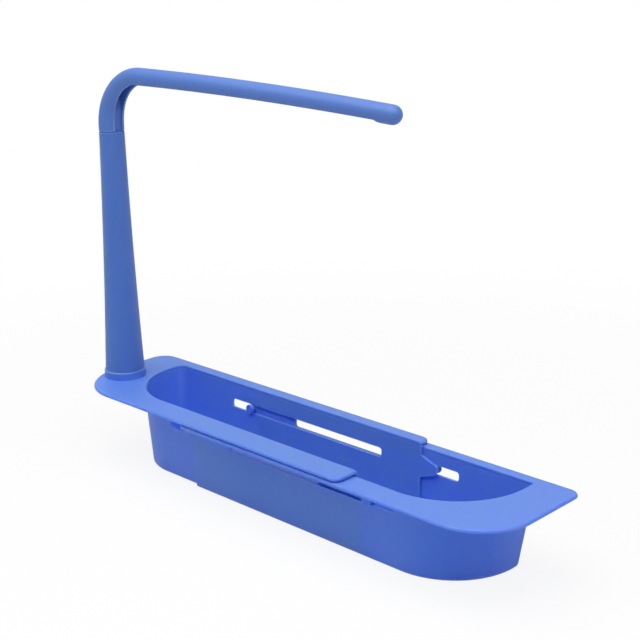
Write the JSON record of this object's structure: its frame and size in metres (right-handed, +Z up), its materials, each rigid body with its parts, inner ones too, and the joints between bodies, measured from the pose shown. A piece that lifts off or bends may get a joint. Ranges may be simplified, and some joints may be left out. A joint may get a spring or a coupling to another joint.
{
  "type": "sink caddy",
  "caption": "Telescoping over-sink caddy: nested slotted trays with wide flanges that slide apart, a plug-in tapered post and a swivelling towel arm with a ball end.",
  "frame": {"origin": "middle of the length and width with the trays as far apart as pictured, on the plane that the outer tray's underside stands on", "axes": "+X along the trays from the post's end to the other end, +Y from the swept front to the straight back, +Z up"},
  "size_m": [0.3606, 0.085, 0.271],
  "materials": {
    "blue_polypropylene": "satin moulded"
  },
  "bodies": {
    "inner_tray": {"inner_tray": "blue_polypropylene"},
    "outer_tray": {"outer_tray": "blue_polypropylene"},
    "post": {"post": "blue_polypropylene"},
    "towel_arm": {"towel_arm": "blue_polypropylene"}
  },
  "joints": [
    {"name": "tray_slide", "type": "slide", "parent": "outer_tray", "child": "inner_tray", "axis": [-1, 0, 0], "range_m": [-0.016, 0.1148]},
    {"name": "post_lift", "type": "slide", "parent": "inner_tray", "child": "post", "axis": [0, 0, 1], "range_m": [0, 0.006]},
    {"name": "arm_swivel", "type": "hinge", "parent": "post", "child": "towel_arm", "pos_m": [-0.16345, -0.0078, 0.2274], "axis": [0, 0, 1], "continuous": true}
  ]
}
